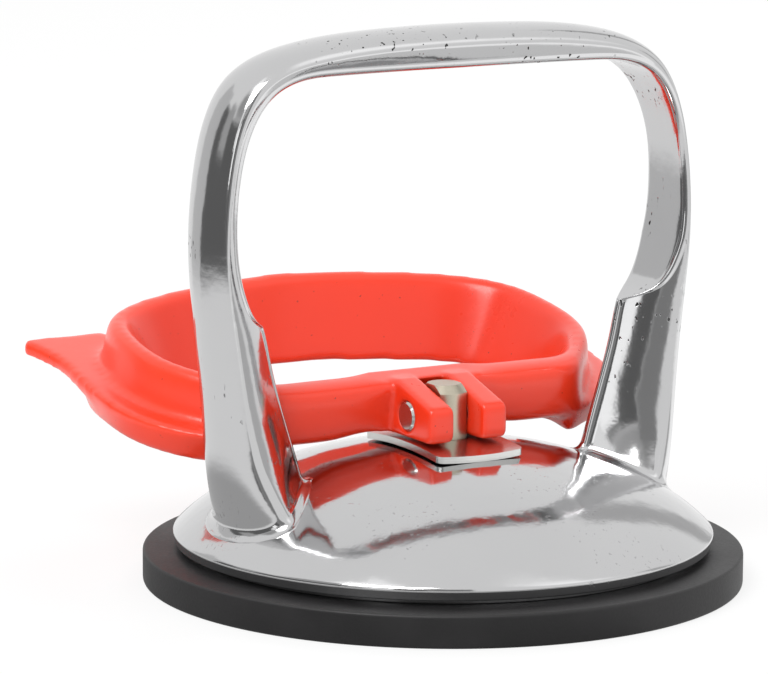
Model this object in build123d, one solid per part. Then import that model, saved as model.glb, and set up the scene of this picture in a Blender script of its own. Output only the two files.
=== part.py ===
from build123d import *
import math
import os

# Glass suction cup lifter. The origin is the middle of the pad's flat face, +Z points up, the bow handle
# stands along X and the lever lies open along +Y. All sizes are millimetres and degrees.

# Rubber suction pad
PAD_RADIUS = 59.0
PAD_THICKNESS = 6.4
PAD_EDGE_CHAMFER = 0.5
PAD_GROOVE_RADIUS = 52.0
PAD_GROOVE_DEPTH = 1.2

# Steel plate bonded into the top of the pad
INSERT_RADIUS = 28.0
INSERT_THICKNESS = 2.0
INSERT_SINK = 1.0
INSERT_EDGE_ROUND = 0.4
INSERT_CLEARANCE = 0.3

# Cast dome
DOME_RADIUS = 53.2
DOME_SHOULDER = 6.0
DOME_RISE = 17.2
DOME_WALL = 3.2
RIM_SHADOW_GAP = 1.2
RIM_BAND = 2.2
FOOT_RING_RADIUS = 50.0
FOOT_RING_WIDTH = 3.5
GUIDE_BOSS_RADIUS = 9.5
GUIDE_BOSS_LENGTH = 3.5

# Bow handle, right half: the crown runs along the outside of the bow and the ridge along its inside.
# Each station is (crown x, crown z, ridge x, ridge z, half thickness, crown bulge).
HANDLE_TOP = 109.2
HANDLE_TOP_RIDGE = 98.0
GRIP_HALF_THICKNESS = 7.6
GRIP_BULGE = 2.8
STEP_X = 40.2
STEP_Z = 52.7
HANDLE_STATIONS = [
    (46.4, 9.5, 26.8, 9.5, 14.6, 9.0),
    (49.0, 18.5, 30.4, 18.5, 12.6, 7.4),
    (50.8, 27.5, 33.2, 27.5, 9.7, 5.4),
    (51.7, 36.5, 36.0, 36.5, 8.3, 4.2),
    (52.5, 45.0, 38.4, 45.0, 7.8, 3.7),
    (53.4, 54.0, STEP_X, STEP_Z, GRIP_HALF_THICKNESS, 3.3),
    (54.1, 64.0, 43.8, 62.0, GRIP_HALF_THICKNESS, GRIP_BULGE),
    (54.1, 75.0, 46.2, 73.5, GRIP_HALF_THICKNESS, GRIP_BULGE),
    (53.0, 84.5, 45.6, 82.0, GRIP_HALF_THICKNESS, GRIP_BULGE),
    (51.0, 92.8, 43.2, 88.8, GRIP_HALF_THICKNESS, GRIP_BULGE),
    (47.0, 100.4, 39.2, 93.6, GRIP_HALF_THICKNESS, 3.0),
    (40.2, 105.1, 33.6, 96.4, GRIP_HALF_THICKNESS, 3.2),
    (30.5, 107.6, 27.4, 97.4, GRIP_HALF_THICKNESS, 3.4),
    (15.5, 108.9, 15.0, 97.9, GRIP_HALF_THICKNESS, 3.4),
]
FLANK_PLACE = 0.45
FLANK_FULLNESS = 0.58

# Flat cut across the inside of the bow, from its middle line to the right; the casting has it off centre
HAND_TOP = 101.1
HAND_OFF_CENTRE = 1.2
HAND_OUTLINE = [
    (44.2, 55.0),
    (47.4, 60.0),
    (49.3, 67.0),
    (49.7, 75.0),
    (48.9, 84.0),
    (46.3, 92.4),
    (42.0, 98.0),
    (36.5, 100.5),
    (29.0, HAND_TOP),
]

# Wear plate on the crown of the dome
WEAR_HALF_WIDTH = 9.6
WEAR_HALF_LENGTH = 15.6
WEAR_THICKNESS = 1.3
WEAR_END_BOW = 1.4
WEAR_CORNER = 1.6

# Draw stud, a flat bar with an eye, and its guide clearances
STUD_WIDTH = 6.1
STUD_DEPTH = 9.6
STUD_TOP_ABOVE_PIN = 5.9
STUD_CROWN_CHAMFER = 1.5
STUD_FLANGE_RADIUS = 8.0
STUD_FLANGE_THICKNESS = 2.4
GUIDE_CLEARANCE = 0.25

# Pivot pin
PIN_RADIUS = 2.95
PIN_HEIGHT_ABOVE_WEAR = 4.6
PIN_CHAMFER = 0.4
PIN_FIT = 0.02
LEVER_FIT = 0.06

# Cam ears of the lever, drawn in the open position
EAR_THICKNESS = 5.5
EAR_GAP = 6.4
EAR_NOSE = 9.8
EAR_SEAT_GAP = 0.3
EAR_FRONT_HEIGHT = 7.0
EAR_TOP_RISE = 4.0
EAR_ROOT = 8.0
EAR_NOSE_ROUND = 1.8
EAR_SOFT_EDGE = 0.7
STUD_POCKET = 8.1
STUD_POCKET_BACK = 5.7

# Lever loop, drawn flat: x across, y away from the pin, z up from the pin axis
LEVER_TILT = 10.2
LOOP_TOP = 5.2
FLANGE_TOP = -4.3
FLANGE_BOTTOM = -11.5
RIM_OUTLINE = [
    (30.5, 4.6),
    (35.6, 7.4),
    (39.8, 12.6),
    (44.6, 19.0),
    (48.6, 26.5),
    (50.2, 36.0),
    (49.4, 46.0),
    (46.2, 55.4),
    (38.6, 62.2),
    (22.0, 68.6),
]
RIM_FAR = 72.2
RIM_DRAFT = 1.0
RIM_TOP_WIDTH = 3.4
RIM_EDGE_ROUND = 1.8
OPENING_TOP_NEAR = 12.7
OPENING_BOTTOM_NEAR = 16.5
OPENING_BOTTOM_SHRINK = 12.5
OPENING_EDGE_ROUND = 1.0
FLANGE_OUTLINE = [
    (32.0, 4.6),
    (37.0, 6.2),
    (42.5, 9.2),
    (48.6, 13.8),
    (53.4, 20.0),
    (56.4, 27.5),
    (57.3, 36.5),
    (56.2, 47.0),
    (51.5, 57.5),
    (41.5, 67.2),
    (22.0, 73.8),
]
FLANGE_FAR = 75.6
FLANGE_DRAFT = 3.0
TAB_THICKNESS = 3.0
TAB_SIDE = [(56.6, 41.0), (55.8, 50.0), (55.3, 58.0), (56.2, 64.0)]
TAB_TIP = (58.6, 70.2)
TAB_ROOT = (38.0, 72.6)
TAB_INSIDE = 40.0
TAB_TIP_ROUND = 1.6

# Hollow under the bar beside the pin, which clears the dome and the wear plate
NOTCH_HALF_WIDTH = 35.0
NOTCH_ABOVE_CREST = 0.3
NOTCH_MIDDLE_HALF_WIDTH = 12.5
NOTCH_MIDDLE_SLOPE = 7.5
NOTCH_MIDDLE_RISE = 1.7
NOTCH_ROUND = 1.5
NOTCH_REACH = 19.0

# Values worked out from the sizes above
RIM_BOTTOM = PAD_THICKNESS + RIM_SHADOW_GAP
RIM_TOP = RIM_BOTTOM + RIM_BAND
DOME_CREST = RIM_TOP + DOME_RISE
ARCH_HALF_WIDTH = DOME_RADIUS + DOME_SHOULDER
ARCH_HEIGHT = DOME_RISE / (1 - math.sqrt(1 - (DOME_RADIUS / ARCH_HALF_WIDTH) ** 2))
ARCH_BASE = DOME_CREST - ARCH_HEIGHT
WEAR_TOP = DOME_CREST + WEAR_THICKNESS
PIN_HEIGHT = WEAR_TOP + PIN_HEIGHT_ABOVE_WEAR
EAR_BOTTOM = WEAR_TOP + EAR_SEAT_GAP
EAR_OUTER = EAR_GAP / 2 + EAR_THICKNESS
INSERT_BOTTOM = PAD_THICKNESS - INSERT_SINK
INSERT_TOP = INSERT_BOTTOM + INSERT_THICKNESS
FOOT_RING_INNER = FOOT_RING_RADIUS - FOOT_RING_WIDTH


def arch_height(radius, half_width, height):
    """Height of the dome's elliptical arch above its base at a radius."""
    return height * math.sqrt(1 - (radius / half_width) ** 2)


def revolved(outline):
    """A full turn about the vertical axis of a closed outline drawn as radius and height."""
    return revolve(Plane.XZ * make_face(outline), Axis.Z)


def suction_pad():
    """A flat rubber disc with a sealing groove underneath and a recess for the insert plate."""
    pad = Cylinder(PAD_RADIUS, PAD_THICKNESS, align=(Align.CENTER, Align.CENTER, Align.MIN))
    pad = chamfer(pad.edges().filter_by(GeomType.CIRCLE), PAD_EDGE_CHAMFER)
    groove = Polyline(
        (PAD_GROOVE_RADIUS - PAD_GROOVE_DEPTH, 0),
        (PAD_GROOVE_RADIUS, PAD_GROOVE_DEPTH),
        (PAD_GROOVE_RADIUS + PAD_GROOVE_DEPTH, 0),
        close=True,
    )
    pad -= revolved(groove.edges())
    depth = INSERT_SINK + INSERT_CLEARANCE
    recess = Cylinder(INSERT_RADIUS + INSERT_CLEARANCE, depth, align=(Align.CENTER, Align.CENTER, Align.MAX))
    return pad - Pos(0, 0, PAD_THICKNESS) * recess


def insert_plate():
    """The steel disc that spreads the stud's pull over the middle of the pad."""
    plate = Cylinder(INSERT_RADIUS, INSERT_THICKNESS, align=(Align.CENTER, Align.CENTER, Align.MIN))
    top = plate.edges().group_by(Axis.Z)[-1]
    return Pos(0, 0, INSERT_BOTTOM) * fillet(top, INSERT_EDGE_ROUND)


def dome_outside():
    """The dome without its hollow: rim band, elliptical arch and the foot ring that sits on the pad."""
    end = math.degrees(math.acos(DOME_RADIUS / ARCH_HALF_WIDTH))
    arch = EllipticalCenterArc((0, ARCH_BASE), ARCH_HALF_WIDTH, ARCH_HEIGHT, end, arc_size=90 - end)
    sides = Polyline(
        (0, DOME_CREST),
        (0, PAD_THICKNESS),
        (FOOT_RING_RADIUS, PAD_THICKNESS),
        (FOOT_RING_RADIUS, RIM_BOTTOM),
        (DOME_RADIUS, RIM_BOTTOM),
        (DOME_RADIUS, RIM_TOP),
    )
    return revolved(arch.edges() + sides.edges())


def dome_hollow():
    """The space under the dome, left round the guide boss in its crown."""
    half_width = ARCH_HALF_WIDTH - DOME_WALL
    height = ARCH_HEIGHT - DOME_WALL
    shoulder = ARCH_BASE + arch_height(FOOT_RING_INNER, half_width, height)
    end = math.degrees(math.acos(FOOT_RING_INNER / half_width))
    start = math.degrees(math.acos(GUIDE_BOSS_RADIUS / half_width))
    crown = ARCH_BASE + arch_height(GUIDE_BOSS_RADIUS, half_width, height)
    boss_end = ARCH_BASE + height - GUIDE_BOSS_LENGTH
    arch = EllipticalCenterArc((0, ARCH_BASE), half_width, height, end, arc_size=start - end)
    sides = Polyline(
        (GUIDE_BOSS_RADIUS, crown),
        (GUIDE_BOSS_RADIUS, boss_end),
        (0, boss_end),
        (0, PAD_THICKNESS),
        (FOOT_RING_INNER, PAD_THICKNESS),
        (FOOT_RING_INNER, shoulder),
    )
    return revolved(arch.edges() + sides.edges())


def bow_section(crown_x, crown_z, ridge_x, ridge_z, half_thickness, bulge):
    """A leaf-shaped section: a round back outside and two bowed flanks that meet in the inner ridge."""
    depth = math.hypot(crown_x - ridge_x, crown_z - ridge_z)
    outward = Vector(crown_x - ridge_x, 0, crown_z - ridge_z).normalized()
    plane = Plane(origin=(ridge_x, 0, ridge_z), x_dir=outward, z_dir=outward.cross(Vector(0, 1, 0)))
    widest = depth - bulge
    back = EllipticalCenterArc((widest, 0), bulge, half_thickness, -90, arc_size=180)
    flank = widest * FLANK_PLACE
    bowed = half_thickness * FLANK_FULLNESS
    left = ThreePointArc((widest, half_thickness), (flank, bowed), (0, 0))
    right = ThreePointArc((0, 0), (flank, -bowed), (widest, -half_thickness))
    return plane * make_face(back.edges() + left.edges() + right.edges())


def bow_handle():
    """The bow, lofted through its stations from one foot over the top to the other."""
    right = [bow_section(*station) for station in HANDLE_STATIONS]
    left = [section.mirror(Plane.YZ) for section in right]
    bulge = HANDLE_STATIONS[-1][-1]
    top = bow_section(0, HANDLE_TOP, 0, HANDLE_TOP_RIDGE, GRIP_HALF_THICKNESS, bulge)
    return loft(right + [top] + left[::-1])


def opening_side(side):
    """One curved side of the flat cut, from the step's tip up to the grip; side is 1 or -1."""
    points = [(side * STEP_X, STEP_Z)]
    points += [(HAND_OFF_CENTRE + side * x, z) for x, z in HAND_OUTLINE]
    return Spline(points)


def hand_opening():
    """The flat cut across the inside of the bow: it starts at the two steps and clears the hand."""
    right = opening_side(1)
    left = opening_side(-1)
    top = Line(right @ 1, left @ 1)
    floor = Line(left @ 0, right @ 0)
    face = Plane.XZ * make_face(right.edges() + top.edges() + left.edges() + floor.edges())
    return extrude(face, PAD_RADIUS / 2, both=True)


def stud_section(clearance):
    """The stud's outline: a round bar with two flats."""
    return Rectangle(STUD_WIDTH + 2 * clearance, 2 * STUD_DEPTH) & Circle(STUD_DEPTH / 2 + clearance)


def cast_body():
    """Dome and bow handle, one chrome-plated casting."""
    body = dome_outside() + bow_handle()
    body -= hand_opening()
    body -= dome_hollow()
    return body - extrude(stud_section(GUIDE_CLEARANCE), DOME_CREST + 1)


def wear_plate():
    """A pressed steel plate, bent to the dome's crown, with bowed ends and a slot for the stud."""
    bend = ARCH_HALF_WIDTH**2 / ARCH_HEIGHT
    shell = Cylinder(bend + WEAR_THICKNESS, 2 * WEAR_HALF_WIDTH, rotation=(0, 90, 0))
    shell -= Cylinder(bend, 3 * WEAR_HALF_WIDTH, rotation=(0, 90, 0))
    shell = Pos(0, 0, DOME_CREST - bend) * shell
    end = WEAR_HALF_LENGTH - WEAR_END_BOW
    front = ThreePointArc((-WEAR_HALF_WIDTH, -end), (0, -WEAR_HALF_LENGTH), (WEAR_HALF_WIDTH, -end))
    back = ThreePointArc((WEAR_HALF_WIDTH, end), (0, WEAR_HALF_LENGTH), (-WEAR_HALF_WIDTH, end))
    right = Line((WEAR_HALF_WIDTH, -end), (WEAR_HALF_WIDTH, end))
    left = Line((-WEAR_HALF_WIDTH, end), (-WEAR_HALF_WIDTH, -end))
    outline = make_face(front.edges() + right.edges() + back.edges() + left.edges())
    outline = fillet(outline.vertices(), WEAR_CORNER) - stud_section(GUIDE_CLEARANCE)
    return shell & extrude(outline, 2 * DOME_CREST)


def draw_stud():
    """The flat bar that pulls the pad up: crowned top, eye for the pin and a round foot on the insert."""
    length = PIN_HEIGHT + STUD_TOP_ABOVE_PIN - INSERT_TOP
    bar = Cylinder(STUD_DEPTH / 2, length, align=(Align.CENTER, Align.CENTER, Align.MIN))
    bar = chamfer(bar.edges().group_by(Axis.Z)[-1], STUD_CROWN_CHAMFER)
    bar &= extrude(stud_section(0), length)
    foot = Cylinder(STUD_FLANGE_RADIUS, STUD_FLANGE_THICKNESS, align=(Align.CENTER, Align.CENTER, Align.MIN))
    stud = Pos(0, 0, INSERT_TOP) * (bar + foot)
    return stud - Pos(0, 0, PIN_HEIGHT) * Cylinder(PIN_RADIUS + PIN_FIT, 2 * STUD_DEPTH, rotation=(0, 90, 0))


def pivot_pin():
    """The straight pin through both ears and the stud's eye, flush with the ears."""
    pin = Cylinder(PIN_RADIUS, 2 * EAR_OUTER)
    pin = chamfer(pin.edges().filter_by(GeomType.CIRCLE), PIN_CHAMFER)
    return Pos(0, 0, PIN_HEIGHT) * Rot(0, 90, 0) * pin


def loop_outline(points, far, grow=0.0, near=None):
    """A closed outline of the loop: through the right-hand points, over the far point and back, mirrored.
    Every point is pushed outwards by grow; near moves the straight edge beside the pin."""
    chain = points + [(0.0, far)] + [(-x, y) for x, y in points[::-1]]
    pushed = []
    for i, (x, y) in enumerate(chain):
        before = chain[max(i - 1, 0)]
        after = chain[min(i + 1, len(chain) - 1)]
        along = Vector(after[0] - before[0], after[1] - before[1]).normalized()
        pushed.append((x + along.Y * grow, y - along.X * grow))
    if near is not None:
        pushed = [(x, max(y, near)) for x, y in pushed]
    curve = Spline(pushed)
    return make_face(curve.edges() + Line(pushed[-1], pushed[0]).edges())


def flange_tabs():
    """The thin ledge that runs out of the flange's top into a pointed finger tab on each side."""
    side = Spline(TAB_SIDE + [TAB_TIP])
    inside = Polyline(TAB_TIP, TAB_ROOT, (TAB_INSIDE, TAB_SIDE[0][1]), TAB_SIDE[0])
    face = make_face(side.edges() + inside.edges())
    tip = face.vertices().sort_by_distance((TAB_TIP[0], TAB_TIP[1], 0))[0]
    tab = Pos(0, 0, FLANGE_TOP) * extrude(fillet(tip, TAB_TIP_ROUND), -TAB_THICKNESS)
    return tab + tab.mirror(Plane.YZ)


def lever_loop():
    """Flange, raised rim, tapered opening and finger tabs, drawn flat."""
    near = FLANGE_OUTLINE[0][1]
    sole = Pos(0, 0, FLANGE_BOTTOM) * loop_outline(FLANGE_OUTLINE, FLANGE_FAR, -FLANGE_DRAFT, near)
    ledge = Pos(0, 0, FLANGE_TOP) * loop_outline(FLANGE_OUTLINE, FLANGE_FAR)
    flange = loft([sole, ledge])
    foot = Pos(0, 0, FLANGE_TOP) * loop_outline(RIM_OUTLINE, RIM_FAR, RIM_DRAFT, RIM_OUTLINE[0][1])
    top = Pos(0, 0, LOOP_TOP) * loop_outline(RIM_OUTLINE, RIM_FAR)
    rim = loft([foot, top])
    rim = fillet(rim.edges().group_by(Axis.Z)[-1], RIM_EDGE_ROUND)
    wide = Pos(0, 0, LOOP_TOP) * loop_outline(RIM_OUTLINE, RIM_FAR, -RIM_TOP_WIDTH, OPENING_TOP_NEAR)
    shrunk = loop_outline(RIM_OUTLINE, RIM_FAR, -OPENING_BOTTOM_SHRINK, OPENING_BOTTOM_NEAR)
    opening = loft([Pos(0, 0, FLANGE_BOTTOM) * shrunk, wide])
    rim -= opening
    crest = rim.faces().sort_by(Axis.Z)[-1]
    rim = fillet(crest.inner_wires()[0].edges(), OPENING_EDGE_ROUND)
    return flange - opening + rim + flange_tabs() - opening


def under_notch():
    """The hollow under the bar: flat across the loop, with a higher stretch over the wear plate."""
    low = DOME_CREST + NOTCH_ABOVE_CREST
    high = low + NOTCH_MIDDLE_RISE
    slope = NOTCH_MIDDLE_HALF_WIDTH + NOTCH_MIDDLE_SLOPE
    right = [
        (NOTCH_HALF_WIDTH, RIM_BOTTOM),
        (NOTCH_HALF_WIDTH, low),
        (slope, low),
        (NOTCH_MIDDLE_HALF_WIDTH, high),
    ]
    outline = make_face(Polyline(*right, *[(-x, z) for x, z in right[::-1]], close=True))
    sides = outline.vertices().group_by(Axis.X)
    return extrude(Plane.XZ * fillet(sides[0] + sides[-1], NOTCH_ROUND), -NOTCH_REACH)


def ear():
    """One cam ear in the open position, flat underneath, with a nose that points away from the loop."""
    front_top = EAR_BOTTOM + EAR_FRONT_HEIGHT
    outline = make_face(
        Polyline(
            (-EAR_NOSE, EAR_BOTTOM),
            (-EAR_NOSE, front_top),
            (EAR_ROOT / 2, front_top + EAR_TOP_RISE),
            (EAR_ROOT, front_top + EAR_TOP_RISE),
            (EAR_ROOT, EAR_BOTTOM),
            close=True,
        )
    )
    nose = outline.vertices().group_by(Axis.X)[0]
    outline = fillet(nose, EAR_NOSE_ROUND)
    block = extrude(Plane.YZ * outline, EAR_THICKNESS / 2, both=True)
    sides = block.faces().sort_by(Axis.X)
    rim = sides[0].edges() + sides[-1].edges()
    block = fillet(rim, EAR_SOFT_EDGE)
    return block


def lever():
    """The red lever in its open position: tilted loop, two level ears, stud pocket and pin hole."""
    loop = Pos(0, 0, PIN_HEIGHT) * Rot(LEVER_TILT, 0, 0) * lever_loop()
    loop -= under_notch()
    reach = EAR_GAP / 2 + EAR_THICKNESS / 2
    body = loop + Pos(reach, 0, 0) * ear() + Pos(-reach, 0, 0) * ear()
    pocket = Cylinder(STUD_POCKET, EAR_GAP, rotation=(0, 90, 0))
    length = STUD_POCKET + STUD_POCKET_BACK
    below = Box(EAR_GAP, length, 2 * STUD_POCKET, align=(Align.CENTER, Align.MAX, Align.MAX))
    pocket += Pos(0, STUD_POCKET_BACK, 0) * below
    body -= Pos(0, 0, PIN_HEIGHT) * pocket
    return body - Pos(0, 0, PIN_HEIGHT) * Cylinder(PIN_RADIUS + LEVER_FIT, 3 * EAR_OUTER, rotation=(0, 90, 0))


if __name__ == "__main__":
    os.makedirs("parts", exist_ok=True)
    nodes = {
        "cast_body": cast_body,
        "suction_pad": suction_pad,
        "insert_plate": insert_plate,
        "wear_plate": wear_plate,
        "draw_stud": draw_stud,
        "pivot_pin": pivot_pin,
        "lever": lever,
    }
    for name, build in nodes.items():
        export_step(build(), f"parts/{name}.step")
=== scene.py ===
import bpy
import math
import numpy as np
from mathutils import Matrix, Vector

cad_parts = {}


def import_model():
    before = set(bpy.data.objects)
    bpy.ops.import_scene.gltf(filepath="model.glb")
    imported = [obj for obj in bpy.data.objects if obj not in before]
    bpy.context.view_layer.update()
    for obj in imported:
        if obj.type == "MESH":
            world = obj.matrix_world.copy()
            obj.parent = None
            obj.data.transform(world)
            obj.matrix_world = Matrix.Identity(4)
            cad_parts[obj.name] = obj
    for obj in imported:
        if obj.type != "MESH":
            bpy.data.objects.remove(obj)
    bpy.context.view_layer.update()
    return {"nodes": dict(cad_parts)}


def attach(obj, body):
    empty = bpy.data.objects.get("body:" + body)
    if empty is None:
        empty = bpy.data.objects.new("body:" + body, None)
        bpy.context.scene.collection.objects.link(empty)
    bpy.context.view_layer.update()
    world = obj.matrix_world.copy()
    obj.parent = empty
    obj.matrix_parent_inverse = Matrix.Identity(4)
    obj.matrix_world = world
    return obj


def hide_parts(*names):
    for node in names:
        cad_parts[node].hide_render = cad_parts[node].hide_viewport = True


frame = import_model()

MM = 0.001
NODES = frame["nodes"]

# Camera, as fitted to the photograph: lengths in millimetres, angles in degrees
LENS = 4500.0 * 36.0 / 768.0
CAMERA_AZIMUTH = 30.0
CAMERA_PITCH = 10.26
CAMERA_ROLL = 0.32
CAMERA_DISTANCE = 878.4
AIM_SIDE = -11.8
AIM_HEIGHT = 47.8

# Dome of the casting: the elliptical arch, its rim band and the hollow under it, in millimetres
DOME_RADIUS = 53.2
ARCH_HALF_WIDTH = 59.2
DOME_CREST = 27.0
RIM_TOP = 9.8
RIM_BOTTOM = 7.6
RIM_UNDERCUT = 0.5
ARCH_HEIGHT = (DOME_CREST - RIM_TOP) / (1 - math.sqrt(1 - (DOME_RADIUS / ARCH_HALF_WIDTH) ** 2))
ARCH_BASE = DOME_CREST - ARCH_HEIGHT
DOME_WALL = 3.2
PAD_TOP = 6.4
FOOT_RING_OUTER = 50.0
FOOT_RING_INNER = 46.5
BOSS_RADIUS = 9.5
BOSS_LENGTH = 3.5
STUD_HOLE = 5.05
ROUND_STEPS = 256

# Bow, right half: crown x, crown z, ridge x, ridge z, half thickness and crown bulge of each station
BOW_STATIONS = [
    (46.4, 9.5, 26.8, 9.5, 14.6, 9.0),
    (49.0, 18.5, 30.4, 18.5, 12.6, 7.4),
    (50.8, 27.5, 33.2, 27.5, 9.7, 5.4),
    (51.7, 36.5, 36.0, 36.5, 8.3, 4.2),
    (52.5, 45.0, 38.4, 45.0, 7.8, 3.7),
    (53.4, 54.0, 40.2, 52.7, 7.6, 3.3),
    (54.1, 64.0, 43.8, 62.0, 7.6, 2.8),
    (54.1, 75.0, 46.2, 73.5, 7.6, 2.8),
    (53.0, 84.5, 45.6, 82.0, 7.6, 2.8),
    (51.0, 92.8, 43.2, 88.8, 7.6, 2.8),
    (47.0, 100.4, 39.2, 93.6, 7.6, 3.0),
    (40.2, 105.1, 33.6, 96.4, 7.6, 3.2),
    (30.5, 107.6, 27.4, 97.4, 7.6, 3.4),
    (15.5, 108.9, 15.0, 97.9, 7.6, 3.4),
]
BOW_TOP = (0.0, 109.2, 0.0, 98.0, 7.6, 3.4)
FLANK_CURVE = 0.525
CUT_OUTLINE = [
    (40.2, 52.7),
    (44.2, 55.0),
    (47.4, 60.0),
    (49.3, 67.0),
    (49.7, 75.0),
    (48.9, 84.0),
    (46.3, 92.4),
    (42.0, 98.0),
    (36.5, 100.5),
    (29.0, 101.1),
    (-6.0, 101.1),
]
CUT_OFF_CENTRE = 1.2
RIDGE_ROUND = 0.7
LIP_ROUND = 1.5
FOOT_FILLET = 2.0
FOOT_SINK = 1.6
BOW_ROWS = 190
CAP_STEPS = 5
LIP_STEPS = 7
SIDE_STEPS = 30
FILLET_ROWS = 8

# Rubber pad
PAD_RADIUS = 59.0
PAD_EDGE_ROUND = 0.7
PAD_GROOVE_RADIUS = 52.0
PAD_GROOVE_DEPTH = 1.2
PAD_RECESS_RADIUS = 28.3
PAD_RECESS_DEPTH = 1.3

# Studio: the white background that polished surfaces show, and what stands before it: dark flags under 1 and
# soft boxes over 1, each as start and end of turn, low and high end, softness and tone
STUDIO_TONE = 1.0
STUDIO_CARDS = [
    (50.0, 84.0, 34.0, 66.0, 12.0, 1.45),
    (-72.0, -40.0, 50.0, 74.0, 3.0, 1.40),
    (-20.0, -8.0, 40.0, 68.0, 4.0, 0.60),
    (96.0, 112.0, -20.0, 30.0, 2.0, 0.62),
    (-80.0, 0.0, 24.0, 50.0, 8.0, 0.44),
    (-112.0, -21.0, -25.0, 24.0, 2.0, 0.16),
    (-100.0, -84.0, 8.0, 30.0, 3.0, 0.50),
    (-21.0, -6.0, -25.0, 24.0, 1.5, 0.15),
    (-6.0, 13.0, -25.0, 40.0, 2.0, 0.30),
    (-33.0, -21.5, 2.0, 21.0, 0.8, 1.50),
    (-43.0, -33.0, 12.0, 37.0, 0.8, 1.20),
    (-132.0, -112.0, -10.0, 30.0, 1.5, 0.70),
    (150.0, 158.0, -10.0, 45.0, 1.5, 0.55),
]
# Table: its tone to polished surfaces, a painted lighter side towards the camera's right, painted shade close
# round the object with its edge in metres, the far edge past which it shows the studio's tones, its colour,
# and its whiteness to the camera
TABLE_TONE = 1.0
TABLE_PAINTED_LIGHT = 0.35
TABLE_SHADE = 0.50
TABLE_SHADE_EDGE = (0.13, 0.095)
TABLE_FAR_EDGE = (0.25, 0.40)
TABLE_COLOR = (0.9, 0.9, 0.9, 1)
TABLE_WHITENESS = 0.80
LAMP_AIM = (0, 0, 0.05)
LAMP_SIZE = 0.8
KEY_PLACE = (-0.9, -0.5, 1.3)
KEY_POWER = 15.0
FILL_PLACE = (0.9, 0.6, 1.1)
FILL_POWER = 6.0
MATT_LIGHT = 0.70

# Lever: the softened edges of the moulding
LEVER_VOXEL = 0.5
LEVER_SOFTENING = 8
LOOP_SOFTENING = 90
EARS_REACH = (11.0, 10.0)
EARS_BLEND = 5.0
TAB_START = (46.0, 40.0)
TAB_BLEND = (6.0, 8.0)
TAB_KEPT = 0.8
BAR_SOFTENING = 140
BAR_END = 36.0
BAR_DEPTH = 20.0


def cubic(knots, values, places):
    """Natural cubic spline: its second derivatives solve the tridiagonal system of equal slopes at the
    knots."""
    h = np.diff(knots)
    n = len(knots)
    matrix = np.eye(n)
    inner = np.arange(1, n - 1)
    matrix[inner, inner - 1] = h[:-1]
    matrix[inner, inner] = 2 * (h[:-1] + h[1:])
    matrix[inner, inner + 1] = h[1:]
    slope = np.diff(values, axis=0) / h[:, None]
    right = np.zeros_like(values)
    right[1:-1] = 6 * (slope[1:] - slope[:-1])
    bend = np.linalg.solve(matrix, right)
    i = np.clip(np.searchsorted(knots, places) - 1, 0, n - 2)
    a = ((knots[i + 1] - places) / h[i])[:, None]
    b = 1 - a
    span = (h[i] ** 2)[:, None] / 6
    return a * values[i] + b * values[i + 1] + ((a**3 - a) * bend[i] + (b**3 - b) * bend[i + 1]) * span


def chord_lengths(points):
    """Length along a polyline up to each of its points."""
    steps = np.linalg.norm(np.diff(points, axis=0), axis=-1)
    return np.concatenate([[0], np.cumsum(steps)])


def grid_object(name, grid, wrap_rows, wrap_columns, material):
    """A mesh of quads over a grid of points in millimetres. A wrapped direction joins its end to its
    start."""
    rows, columns = grid.shape[:2]
    index = np.arange(rows * columns).reshape(rows, columns)
    if wrap_rows:
        index = np.vstack([index, index[:1]])
    if wrap_columns:
        index = np.hstack([index, index[:, :1]])
    quads = np.stack([index[:-1, :-1], index[1:, :-1], index[1:, 1:], index[:-1, 1:]], -1).reshape(-1, 4)
    return mesh_object(name, grid.reshape(-1, 3), quads, material)


def mesh_object(name, points, faces, material):
    """A smooth-shaded object at the origin from points in millimetres, doubles merged, facing outwards."""
    mesh = bpy.data.meshes.new(name)
    mesh.from_pydata((np.asarray(points) * MM).tolist(), [], np.asarray(faces).tolist())
    mesh.update()
    piece = bpy.data.objects.new(name, mesh)
    bpy.context.scene.collection.objects.link(piece)
    tidy_mesh(piece)
    mesh.materials.append(material)
    return piece


def tidy_mesh(piece):
    """Merges doubles, turns the faces outwards and shades them smooth."""
    bpy.context.view_layer.objects.active = piece
    bpy.ops.object.select_all(action="DESELECT")
    piece.select_set(True)
    bpy.ops.object.mode_set(mode="EDIT")
    bpy.ops.mesh.select_all(action="SELECT")
    bpy.ops.mesh.remove_doubles(threshold=1e-6)
    bpy.ops.mesh.normals_make_consistent(inside=False)
    bpy.ops.object.mode_set(mode="OBJECT")
    piece.data.polygons.foreach_set("use_smooth", np.ones(len(piece.data.polygons), bool))
    piece.data.update()


def rounded_profile(corners, steps=6):
    """A closed profile: each corner (radius, height, rounding) becomes a quadratic curve between the points
    that lie its rounding away on both sides, held by the corner itself. A corner with no rounding stays one
    point."""
    corners = np.array(corners, float)
    place = corners[:, :2]
    before = np.roll(place, 1, 0) - place
    after = np.roll(place, -1, 0) - place
    near = np.linalg.norm(before, axis=1)
    far = np.linalg.norm(after, axis=1)
    cut = np.minimum(corners[:, 2], 0.49 * np.minimum(near, far))
    start = place + before * (cut / near)[:, None]
    end = place + after * (cut / far)[:, None]
    t = np.linspace(0, 1, steps)[None, :, None]
    curve = (1 - t) ** 2 * start[:, None] + 2 * t * (1 - t) * place[:, None] + t**2 * end[:, None]
    kept = (cut > 0)[:, None] | (np.arange(steps) == 0)
    return curve[kept]


def revolved(name, profile, material):
    """A profile of radius and height turned about the upright axis: closed, or open from axis to axis."""
    turn = np.arange(ROUND_STEPS) * 2 * np.pi / ROUND_STEPS
    radius = profile[None, :, 0]
    across = radius * np.cos(turn)[:, None]
    along = radius * np.sin(turn)[:, None]
    height = np.broadcast_to(profile[None, :, 1], across.shape)
    ring = bool(profile[0, 0] > 0)
    return grid_object(name, np.stack([across, along, height], -1), True, ring, material)


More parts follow.
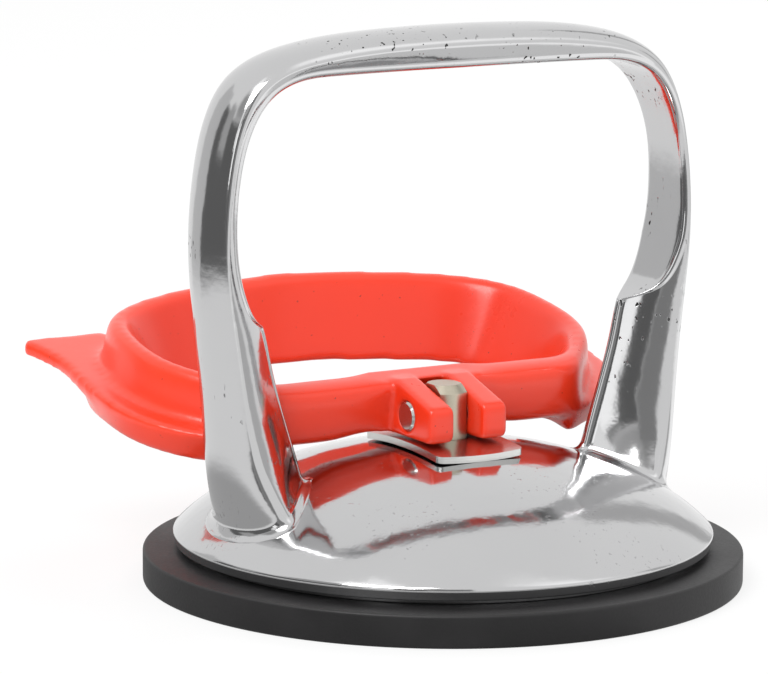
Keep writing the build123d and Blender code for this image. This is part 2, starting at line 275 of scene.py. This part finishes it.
def arch_height(radius, wall=0.0):
    """Height of the dome's arch at a radius; the arch of the hollow is smaller by the wall on both axes."""
    half_width = ARCH_HALF_WIDTH - wall
    return ARCH_BASE + (ARCH_HEIGHT - wall) * np.sqrt(1 - (radius / half_width) ** 2)


def dome(material):
    """The dome with its crown hole, rim band, foot ring, hollow and guide boss, as one closed profile."""
    out = np.linspace(STUD_HOLE, DOME_RADIUS, 60)[1:-1]
    back = np.linspace(FOOT_RING_INNER, BOSS_RADIUS, 40)
    boss_end = ARCH_BASE + ARCH_HEIGHT - DOME_WALL - BOSS_LENGTH
    corners = [(STUD_HOLE, float(arch_height(STUD_HOLE)), 0.3)]
    corners += [(r, z, 0.0) for r, z in zip(out, arch_height(out))]
    corners += [
        (DOME_RADIUS, RIM_TOP, 1.1),
        (DOME_RADIUS - RIM_UNDERCUT, RIM_BOTTOM, 0.4),
        (FOOT_RING_OUTER, RIM_BOTTOM, 0.3),
        (FOOT_RING_OUTER, PAD_TOP, 0.2),
        (FOOT_RING_INNER, PAD_TOP, 0.2),
    ]
    corners += [(r, z, 0.0) for r, z in zip(back, arch_height(back, DOME_WALL))]
    corners += [(BOSS_RADIUS, boss_end, 0.4), (STUD_HOLE, boss_end, 0.3)]
    return revolved("dome_skin", rounded_profile(corners), material)


def half_width_at(x, widest, bulge, half_thickness):
    """Half width of the leaf section at a distance from its ridge: a bowed flank up to the widest place, then
    half an ellipse round the crown."""
    share = np.clip(x / widest, 0, 1)
    flank = half_thickness * (share + FLANK_CURVE * share * (1 - share))
    past = np.clip((x - widest) / bulge, 0, 1)
    return np.where(x < widest, flank, half_thickness * np.sqrt(1 - past**2))


def cut_depth(ridge, outward, side):
    """How far from the ridge the flat cut reaches along a section: where its line leaves the outline."""
    points = np.array(CUT_OUTLINE)
    knots = chord_lengths(points)
    fine = cubic(knots, points, np.linspace(0, knots[-1], 240))
    fine[:, 0] += CUT_OFF_CENTRE * side
    a, b = fine[:-1], fine[1:]
    d = (b - a)[None]
    gap = a[None] - ridge[:, None]
    cross = outward[:, None, 0] * d[..., 1] - outward[:, None, 1] * d[..., 0]
    cross = np.where(np.abs(cross) < 1e-9, 1e-9, cross)
    reach = (gap[..., 0] * d[..., 1] - gap[..., 1] * d[..., 0]) / cross
    share = (gap[..., 0] * outward[:, None, 1] - gap[..., 1] * outward[:, None, 0]) / cross
    hit = (share >= 0) & (share <= 1) & (reach > 0)
    return np.where(hit, reach, 0).max(1)


def bow_half(side):
    """Half of the bow from its foot to the top, as rows of section points. Each section is the leaf shape,
    clipped flat where the hand opening cuts it, with a rounded lip between flat and flank."""
    stations = np.array(BOW_STATIONS + [BOW_TOP])
    mirrored = stations[-2::-1] * [-1, 1, -1, 1, 1, 1]
    whole = np.vstack([stations, mirrored])
    knots = chord_lengths(whole[:, :4])
    top = knots[len(stations) - 1]
    rows = cubic(knots, whole, np.linspace(0, top, BOW_ROWS))
    crown, ridge = rows[:, 0:2], rows[:, 2:4]
    half_thickness, bulge = rows[:, 4:5], rows[:, 5:6]
    depth = np.linalg.norm(crown - ridge, axis=1)
    outward = (crown - ridge) / depth[:, None]
    widest = depth[:, None] - bulge
    cut = cut_depth(ridge, outward, side)[:, None]
    blend = np.clip(cut / 4.0, 0, 1)
    lip = RIDGE_ROUND + (LIP_ROUND - RIDGE_ROUND) * blend * blend * (3 - 2 * blend)
    start = cut + lip
    flat = half_width_at(start, widest, bulge, half_thickness) - lip
    step = np.linspace(0, 1, CAP_STEPS)[None]
    angle = np.linspace(0, np.pi / 2, LIP_STEPS)[None, 1:]
    turn = np.linspace(0, np.pi / 2, SIDE_STEPS)[None, 1:]
    cap_x = np.repeat(cut, CAP_STEPS, 1)
    cap_y = flat * step
    lip_x = cut + lip * (1 - np.cos(angle))
    lip_y = flat + lip * np.sin(angle)
    side_x = start + (depth[:, None] - start) * np.sin(turn)
    side_y = half_width_at(side_x, widest, bulge, half_thickness)
    x = np.hstack([cap_x, lip_x, side_x])
    y = np.hstack([cap_y, lip_y, side_y])
    x = np.hstack([x, x[:, -2:0:-1]])
    y = np.hstack([y, -y[:, -2:0:-1]])
    place = ridge[:, None] + outward[:, None] * x[..., None]
    return np.stack([place[..., 0] * side, y, place[..., 1]], -1)


def sampled(rows, lengths, wanted):
    """Each column of rows, resampled at wanted lengths along it."""
    above = (lengths[None] < wanted[:, None]).sum(1)
    i = np.clip(above, 1, len(lengths) - 1)
    low = np.take_along_axis(lengths, i - 1, 0)
    high = np.take_along_axis(lengths, i, 0)
    share = ((wanted - low) / (high - low))[..., None]
    a = np.take_along_axis(rows, (i - 1)[..., None], 0)
    b = np.take_along_axis(rows, i[..., None], 0)
    return a + (b - a) * share


def footed(rows):
    """The half bow set on the dome: every column starts on the dome's surface, curves up through a quadratic
    fillet held by the point where column and dome meet, and goes on along the bow."""
    over = rows[..., 2] - arch_height(np.minimum(np.hypot(rows[..., 0], rows[..., 1]), DOME_RADIUS))
    first = np.argmax(over > 0, 0)[None]
    steps = np.linalg.norm(np.diff(rows, axis=0), axis=2)
    lengths = np.concatenate([np.zeros((1, rows.shape[1])), np.cumsum(steps, 0)])
    low = np.take_along_axis(over, first - 1, 0)
    high = np.take_along_axis(over, first, 0)
    share = -low / (high - low)
    at_low = np.take_along_axis(lengths, first - 1, 0)
    at_high = np.take_along_axis(lengths, first, 0)
    meeting = at_low + (at_high - at_low) * share
    corner = sampled(rows, lengths, meeting)
    start = meeting + FOOT_FILLET
    upper = sampled(rows, lengths, start)
    away = corner[..., :2] - corner[..., :2].mean(1, keepdims=True)
    away = away / np.linalg.norm(away, axis=2, keepdims=True)
    spot = corner[..., :2] + away * FOOT_FILLET
    lower = np.concatenate([spot, arch_height(np.hypot(spot[..., 0], spot[..., 1]))[..., None]], 2)
    t = np.linspace(0, 1, FILLET_ROWS)[:, None, None]
    fillet = (1 - t) ** 2 * lower + 2 * t * (1 - t) * corner + t**2 * upper
    share = np.linspace(0, 1, BOW_ROWS)[1:, None]
    rest = sampled(rows, lengths, start + (lengths[-1:] - start) * share)
    sunk = lower - [0, 0, FOOT_SINK]
    middle = np.broadcast_to(sunk.mean(1, keepdims=True), sunk.shape)
    return np.concatenate([middle, sunk, fillet, rest])


def bow(material):
    """The bow handle as one closed skin: right half from foot to top, then the left half back down."""
    right = footed(bow_half(1))
    left = footed(bow_half(-1))
    grid = np.concatenate([right, left[-2::-1]])
    return grid_object("bow_skin", grid, False, True, material)


def pad(material):
    """The rubber disc: rounded edges, a sealing groove underneath, the recess for the insert plate."""
    corners = [
        (0.0, 0.0, 0.0),
        (PAD_GROOVE_RADIUS - PAD_GROOVE_DEPTH, 0.0, 0.2),
        (PAD_GROOVE_RADIUS, PAD_GROOVE_DEPTH, 0.3),
        (PAD_GROOVE_RADIUS + PAD_GROOVE_DEPTH, 0.0, 0.2),
        (PAD_RADIUS, 0.0, PAD_EDGE_ROUND),
        (PAD_RADIUS, PAD_TOP, PAD_EDGE_ROUND),
        (PAD_RECESS_RADIUS, PAD_TOP, 0.2),
        (PAD_RECESS_RADIUS, PAD_TOP - PAD_RECESS_DEPTH, 0.2),
        (0.0, PAD_TOP - PAD_RECESS_DEPTH, 0.0),
    ]
    profile = rounded_profile(corners)
    return revolved("pad_skin", profile, material)


def settle(piece):
    """Applies the modifiers to the piece's mesh."""
    depsgraph = bpy.context.evaluated_depsgraph_get()
    final = bpy.data.meshes.new_from_object(piece.evaluated_get(depsgraph))
    piece.modifiers.clear()
    piece.data = final


def soften_where(piece, name, share, rounds):
    """Averages the mesh a number of rounds, as strongly as each point's share from 0 to 1, in tenths."""
    group = piece.vertex_groups.new(name=name)
    for level in range(1, 11):
        chosen = np.flatnonzero(np.round(share * 10) == level)
        group.add(chosen.tolist(), level / 10, "REPLACE")
    soften = piece.modifiers.new(name, "SMOOTH")
    soften.factor = 0.5
    soften.iterations = rounds
    soften.vertex_group = name
    settle(piece)


def lever(material):
    """The moulded lever: the solid's surface rebuilt in even squares, its edges softened by averaging, more so
    away from the two ears, where the loop is round like a tube."""
    mesh = NODES["lever"].data.copy()
    mesh.name = "lever_skin"
    piece = bpy.data.objects.new("lever_skin", mesh)
    bpy.context.scene.collection.objects.link(piece)
    mesh.materials.clear()
    tidy_mesh(piece)
    rebuild = piece.modifiers.new("even", "REMESH")
    rebuild.mode = "VOXEL"
    rebuild.voxel_size = LEVER_VOXEL * MM
    soften = piece.modifiers.new("soften", "SMOOTH")
    soften.factor = 0.5
    soften.iterations = LEVER_SOFTENING
    settle(piece)
    points = np.empty(len(piece.data.vertices) * 3)
    piece.data.vertices.foreach_get("co", points)
    points = points.reshape(-1, 3) / MM
    across, along = np.abs(points[:, 0]), points[:, 1]
    away = np.maximum(across - EARS_REACH[0], along - EARS_REACH[1]) / EARS_BLEND
    tab_across = np.clip((across - TAB_START[0]) / TAB_BLEND[0], 0, 1)
    tab_along = np.clip((along - TAB_START[1]) / TAB_BLEND[1], 0, 1)
    share = np.clip(away, 0, 1) * (1 - TAB_KEPT * tab_across * tab_along)
    soften_where(piece, "loop", share, LOOP_SOFTENING)
    near_end = np.clip((across - EARS_REACH[0]) / EARS_BLEND, 0, 1)
    far_end = np.clip((BAR_END - across) / EARS_BLEND, 0, 1)
    depth = np.clip((BAR_DEPTH - along) / EARS_BLEND, 0, 1)
    soften_where(piece, "bar", near_end * far_end * depth, BAR_SOFTENING)
    final = piece.data
    final.polygons.foreach_set("use_smooth", np.ones(len(final.polygons), bool))
    final.materials.clear()
    final.materials.append(material)
    return piece


class Wire:
    """A value that flows through the nodes, with arithmetic that adds Math nodes."""

    def __init__(self, graph, socket):
        self.graph = graph
        self.socket = socket

    def __add__(self, other):
        return self.graph.calc("ADD", self, other)

    __radd__ = __add__

    def __mul__(self, other):
        return self.graph.calc("MULTIPLY", self, other)

    __rmul__ = __mul__

    def __sub__(self, other):
        return self.graph.calc("SUBTRACT", self, other)

    def __rsub__(self, other):
        return self.graph.calc("SUBTRACT", other, self)

    def band(self, low, high):
        """0 below low, 1 above high, smooth between; low above high turns it round."""
        settings = {"interpolation_type": "SMOOTHSTEP"}
        flip = low > high
        ends = {"From Min": min(low, high), "From Max": max(low, high)}
        ends.update({"To Min": float(flip), "To Max": float(not flip)})
        return self.graph.node("ShaderNodeMapRange", settings, {"Value": self, **ends})


class Graph:
    """The nodes of one material, light or world."""

    def __init__(self, tree):
        tree.nodes.clear()
        self.tree = tree

    def node(self, kind, settings=None, sockets=None, out=0):
        """Adds a node: its settings first, then its sockets' values or links. Gives the wire out of it."""
        made = self.tree.nodes.new(kind)
        for key, value in (settings or {}).items():
            setattr(made, key, value)
        for key, value in (sockets or {}).items():
            if isinstance(value, Wire):
                self.tree.links.new(value.socket, made.inputs[key])
            else:
                made.inputs[key].default_value = value
        return Wire(self, made.outputs[out]) if made.outputs else None

    def calc(self, operation, a, b=0.0):
        return self.node("ShaderNodeMath", {"operation": operation}, {0: a, 1: b})

    def place(self):
        return self.node("ShaderNodeTexCoord", out="Object")

    def noise(self, place, scale, detail=2.0, roughness=0.5):
        sockets = {"Vector": place, "Scale": scale, "Detail": detail, "Roughness": roughness}
        return self.node("ShaderNodeTexNoise", None, sockets)

    def stretched(self, place, factors):
        settings = {"operation": "MULTIPLY"}
        return self.node("ShaderNodeVectorMath", settings, {0: place, 1: factors})

    def mixed(self, share, first, second):
        """A colour between two colours."""
        settings = {"data_type": "RGBA"}
        return self.node("ShaderNodeMix", settings, {0: share, 6: first, 7: second}, out=2)

    def bump(self, height, strength, distance, normal=None):
        sockets = {"Height": height, "Strength": strength, "Distance": distance}
        if normal:
            sockets["Normal"] = normal
        return self.node("ShaderNodeBump", None, sockets)

    def finish(self, sockets):
        """The surface: one Principled shader with these sockets."""
        shader = self.node("ShaderNodeBsdfPrincipled", None, sockets)
        self.node("ShaderNodeOutputMaterial", None, {"Surface": shader})


def new_material(name):
    material = bpy.data.materials.new(name)
    material.use_nodes = True
    return material, Graph(material.node_tree)


def chrome():
    """Bright plating over a hand-polished casting: slow waves, ripples, faint polish lines and a few pits."""
    material, g = new_material("chrome_casting")
    place = g.place()
    waves = g.noise(place, 70.0, 2.0)
    ripples = g.noise(place, 420.0, 2.0)
    lines = g.noise(g.stretched(place, (90.0, 90.0, 900.0)), 1.0, 3.0)
    specks = g.noise(g.stretched(place, (1100.0, 1100.0, 600.0)), 1.0, 1.0).band(0.68, 0.71)
    patch = g.noise(place, 55.0, 2.0).band(0.53, 0.62)
    upper = g.node("ShaderNodeSeparateXYZ", None, {0: place}, out="Z").band(0.020, 0.032)
    pits = specks * patch * (upper * 0.8 + 0.2)
    tone = g.noise(place, 30.0, 3.0)
    clean = g.mixed(tone, (0.53, 0.53, 0.535, 1), (0.60, 0.60, 0.605, 1))
    color = g.mixed(pits, clean, (0.05, 0.05, 0.05, 1))
    height = waves * 1.0 + ripples * 0.11 + lines * 0.03 - pits * 0.25
    normal = g.bump(height, 0.35, 0.0006)
    roughness = tone * 0.05 + lines * 0.05 + pits * 0.3 + 0.05
    g.finish({"Base Color": color, "Metallic": 1.0, "Roughness": roughness, "Normal": normal})
    return material


def red_plastic():
    """Moulded orange-red plastic with a satin gloss, faint flow marks and handling specks."""
    material, g = new_material("red_plastic")
    place = g.place()
    cloud = g.noise(place, 35.0, 3.0)
    peel = g.noise(place, 700.0, 2.0)
    specks = g.noise(place, 1500.0, 1.0).band(0.77, 0.80)
    color = g.mixed(cloud, (0.92, 0.036, 0.008, 1), (0.98, 0.052, 0.014, 1))
    color = g.mixed(specks, color, (0.30, 0.02, 0.01, 1))
    normal = g.bump(cloud * 0.6 + peel * 0.05, 0.25, 0.0005)
    roughness = cloud * 0.10 + peel * 0.06 + 0.22
    gloss = {"Coat Weight": 0.25, "Coat Roughness": 0.2}
    g.finish({"Base Color": color, "Roughness": roughness, "Normal": normal, **gloss})
    return material


def black_rubber():
    """Matt moulded rubber with a fine grain and a dusty bloom."""
    material, g = new_material("black_rubber")
    place = g.place()
    grain = g.noise(place, 1800.0, 2.0)
    bloom = g.noise(place, 40.0, 4.0).band(0.35, 0.75)
    color = g.mixed(bloom, (0.005, 0.0045, 0.005, 1), (0.015, 0.014, 0.015, 1))
    normal = g.bump(grain, 0.3, 0.0001)
    roughness = grain * 0.12 + bloom * 0.10 + 0.42
    g.finish({"Base Color": color, "Roughness": roughness, "Normal": normal})
    return material


def steel(name, dark, light, roughness, along):
    """Rolled or turned steel: fine lines along one axis over a slow change of tone."""
    material, g = new_material(name)
    place = g.place()
    lines = g.noise(g.stretched(place, along), 1.0, 3.0)
    tone = g.noise(place, 150.0, 3.0)
    color = g.mixed(tone * 0.6 + lines * 0.4, dark, light)
    normal = g.bump(lines, 0.25, 0.00005)
    dullness = lines * 0.12 + roughness
    g.finish({"Base Color": color, "Metallic": 1.0, "Roughness": dullness, "Normal": normal})
    return material


def studio_tone(g, direction):
    """Brightness of the studio in a direction, told by its turn from the camera (right is positive) and its
    height, both in degrees: an even tone, with softly edged cards laid over it one after the other."""
    turn = math.radians(CAMERA_AZIMUTH)
    to_camera = (-math.sin(turn), -math.cos(turn), 0.0)
    to_right = (math.cos(turn), -math.sin(turn), 0.0)
    dot = {"operation": "DOT_PRODUCT"}
    front = g.node("ShaderNodeVectorMath", dot, {0: direction, 1: to_camera}, out="Value")
    right = g.node("ShaderNodeVectorMath", dot, {0: direction, 1: to_right}, out="Value")
    up = g.node("ShaderNodeVectorMath", dot, {0: direction, 1: (0, 0, 1)}, out="Value")
    around = g.calc("ARCTAN2", right, front) * math.degrees(1)
    height = g.calc("ARCSINE", up) * math.degrees(1)
    tone = STUDIO_TONE
    for start, end, low, high, soft, value in STUDIO_CARDS:
        across = around.band(start - soft, start + soft) * around.band(end + soft, end - soft)
        upright = height.band(low - soft, low + soft) * height.band(high + soft, high - soft)
        share = across * upright
        tone = tone + share * (value - tone)
    return tone


def world():
    """White for camera and clear rays, the same white with the studio's flags and soft boxes for polished
    surfaces, and an even light for matt ones."""
    made = bpy.data.worlds.new("studio")
    bpy.context.scene.world = made
    made.use_nodes = True
    g = Graph(made.node_tree)
    tone = studio_tone(g, g.node("ShaderNodeTexCoord", out="Generated"))
    camera = g.node("ShaderNodeLightPath", out="Is Camera Ray")
    clear = g.node("ShaderNodeLightPath", out="Is Transmission Ray")
    glossy = g.node("ShaderNodeLightPath", out="Is Glossy Ray")
    white = g.calc("MAXIMUM", camera, clear)
    strength = glossy * tone + (1.0 - glossy) * MATT_LIGHT
    strength = white + (1.0 - white) * strength
    shader = g.node("ShaderNodeBackground", None, {"Color": (1, 1, 1, 1), "Strength": strength})
    g.node("ShaderNodeOutputWorld", None, {"Surface": shader})


def floor():
    """A pale table: white to the camera apart from its soft shadow. To polished surfaces it glows with painted
    light: painted shade close round the object, a painted lighter side towards the camera's right, and the
    studio's tones painted farther out.
    """
    bpy.ops.mesh.primitive_plane_add(size=8)
    table = bpy.context.object
    table.name = "floor"
    material, g = new_material("pale_table")
    place = g.place()
    reach = g.node("ShaderNodeVectorMath", {"operation": "LENGTH"}, {0: place}, out="Value")
    heading = g.node("ShaderNodeVectorMath", {"operation": "NORMALIZE"}, {0: place})
    turn = math.radians(CAMERA_AZIMUTH)
    to_right = (math.cos(turn), -math.sin(turn), 0.0)
    dot = {"operation": "DOT_PRODUCT"}
    # Painted light: polished surfaces see the table brighter towards the camera's right.
    painted_light_side = g.node("ShaderNodeVectorMath", dot, {0: heading, 1: to_right}, out="Value").band(0.5, 0.8)
    # Painted shade: polished surfaces see the table darker close round the object.
    painted_shade_share = reach.band(*TABLE_SHADE_EDGE)
    near = TABLE_TONE + painted_light_side * TABLE_PAINTED_LIGHT - painted_shade_share * TABLE_SHADE
    far = reach.band(*TABLE_FAR_EDGE)
    # Painted reflection: farther out the table takes the studio's tones by heading.
    reflected = near + far * (studio_tone(g, heading) - near)
    camera = g.node("ShaderNodeLightPath", out="Is Camera Ray")
    glossy = g.node("ShaderNodeLightPath", out="Is Glossy Ray")
    matt = g.node("ShaderNodeBsdfDiffuse", None, {"Color": TABLE_COLOR})
    white = g.node("ShaderNodeEmission", None, {"Color": (1, 1, 1, 1), "Strength": 1.0})
    # For glossy rays the table glows with this painted tone in place of its lit colour.
    painted_reflection_glow = g.node("ShaderNodeEmission", None, {"Color": (1, 1, 1, 1), "Strength": reflected})
    surface = g.node("ShaderNodeMixShader", None, {0: camera * TABLE_WHITENESS, 1: matt, 2: white})
    surface = g.node("ShaderNodeMixShader", None, {0: glossy, 1: surface, 2: painted_reflection_glow})
    g.node("ShaderNodeOutputMaterial", None, {"Surface": surface})
    table.data.materials.append(material)


def lamp(name, place, power, reflected):
    """A square soft light at a place in metres, turned to the object, with or without its reflections."""
    data = bpy.data.lights.new(name, "AREA")
    data.energy = power
    data.size = LAMP_SIZE
    made = bpy.data.objects.new(name, data)
    made.location = place
    made.visible_glossy = reflected
    made.rotation_euler = (Vector(LAMP_AIM) - Vector(place)).to_track_quat("-Z", "Y").to_euler()
    bpy.context.scene.collection.objects.link(made)


def place_camera():
    """The camera looks down by its pitch along a heading turned by the azimuth, at a point on the aim line."""
    turn = math.radians(CAMERA_AZIMUTH)
    pitch = math.radians(CAMERA_PITCH)
    roll = math.radians(CAMERA_ROLL)
    side = Vector((math.cos(turn), -math.sin(turn), 0.0))
    level = Vector((math.sin(turn), math.cos(turn), 0.0))
    forward = level * math.cos(pitch) - Vector((0, 0, math.sin(pitch)))
    upright = side.cross(forward)
    right = side * math.cos(roll) + upright * math.sin(roll)
    up = right.cross(forward)
    aim = side * AIM_SIDE + Vector((0, 0, AIM_HEIGHT))
    place = (aim - forward * CAMERA_DISTANCE) * MM
    data = bpy.data.cameras.new("camera")
    data.lens = LENS
    data.sensor_width = 36.0
    data.clip_start = 0.05
    camera = bpy.data.objects.new("camera", data)
    camera.matrix_world = Matrix(
        (
            (right.x, up.x, -forward.x, place.x),
            (right.y, up.y, -forward.y, place.y),
            (right.z, up.z, -forward.z, place.z),
            (0, 0, 0, 1),
        )
    )
    bpy.context.scene.collection.objects.link(camera)
    bpy.context.scene.camera = camera
    bpy.context.scene.view_settings.view_transform = "Standard"


def dress(node, material):
    """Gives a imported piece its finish."""
    NODES[node].data.materials.clear()
    NODES[node].data.materials.append(material)


place_camera()
world()
floor()
lamp("key", KEY_PLACE, KEY_POWER, True)
lamp("fill", FILL_PLACE, FILL_POWER, False)

plating = chrome()
casting = [dome(plating), bow(plating)]
for skin in casting:
    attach(skin, "body")
    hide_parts("cast_body")
rubber = pad(black_rubber())
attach(rubber, "body")
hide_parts("suction_pad")
moulding = lever(red_plastic())
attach(moulding, "lever")
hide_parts("lever")

# Dark and light tone, roughness, and how finely the lines run along each axis
STEELS = {
    "wear_plate": ("bright_steel", (0.50, 0.50, 0.49, 1), (0.68, 0.68, 0.66, 1), 0.16, (60, 2500, 2500)),
    "draw_stud": ("zinc_steel", (0.40, 0.36, 0.27, 1), (0.60, 0.56, 0.46, 1), 0.26, (2500, 60, 2500)),
    "pivot_pin": ("pin_steel", (0.45, 0.45, 0.44, 1), (0.64, 0.64, 0.62, 1), 0.18, (900, 900, 900)),
    "insert_plate": ("insert_steel", (0.45, 0.45, 0.44, 1), (0.62, 0.62, 0.60, 1), 0.34, (60, 2500, 900)),
}
for node, finish in STEELS.items():
    dress(node, steel(*finish))
